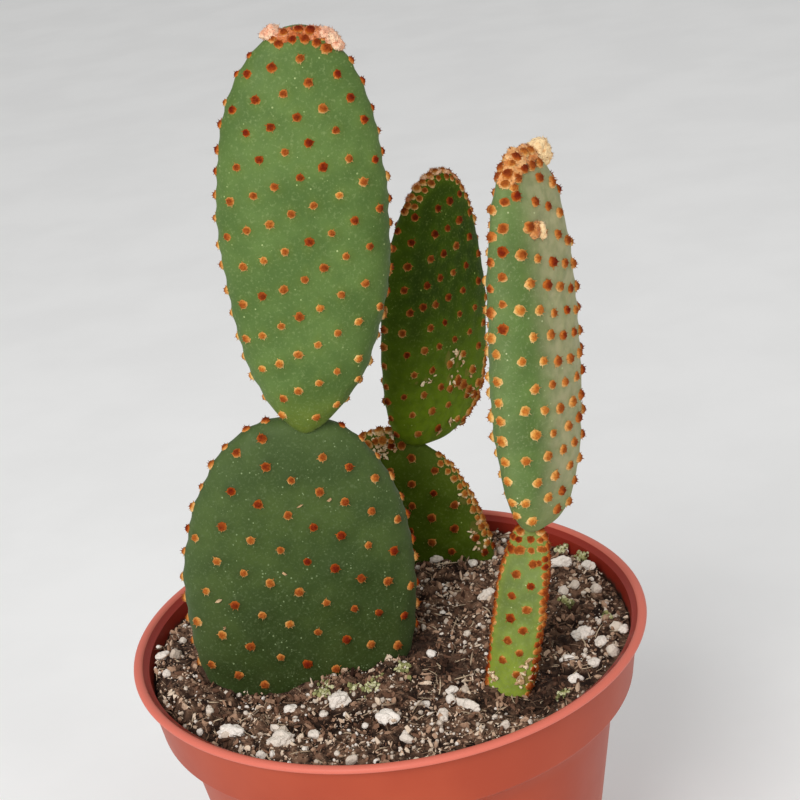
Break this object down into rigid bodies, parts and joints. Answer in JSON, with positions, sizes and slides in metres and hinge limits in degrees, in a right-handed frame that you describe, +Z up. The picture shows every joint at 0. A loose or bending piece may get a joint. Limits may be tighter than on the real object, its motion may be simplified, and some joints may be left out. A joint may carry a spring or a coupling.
{
  "type": "potted bunny ears cactus",
  "caption": "Bunny ears cactus: flat green pads dotted with rust-red bristle tufts, stacked in pairs and rooted in potting mix in a tapered round plastic nursery pot.",
  "frame": {"origin": "middle of the pot's flat underside, at the middle of the whole object's box", "axes": "+Z up, the way the plants grow; -Y towards the side that the broad faces of the front pads show; +X to that side's right"},
  "size_m": [0.108, 0.108, 0.2198],
  "materials": {
    "pot_plastic": "satin",
    "potting_mix": "matte",
    "old_pad": "matte",
    "young_pad": "matte"
  },
  "bodies": {
    "root": {"pot": "pot_plastic", "soil": "potting_mix", "front_lower_pad": "old_pad", "front_upper_pad": "young_pad", "rear_lower_pad": "old_pad", "rear_upper_pad": "young_pad", "right_lower_pad": "young_pad", "right_upper_pad": "young_pad"}
  },
  "joints": []
}
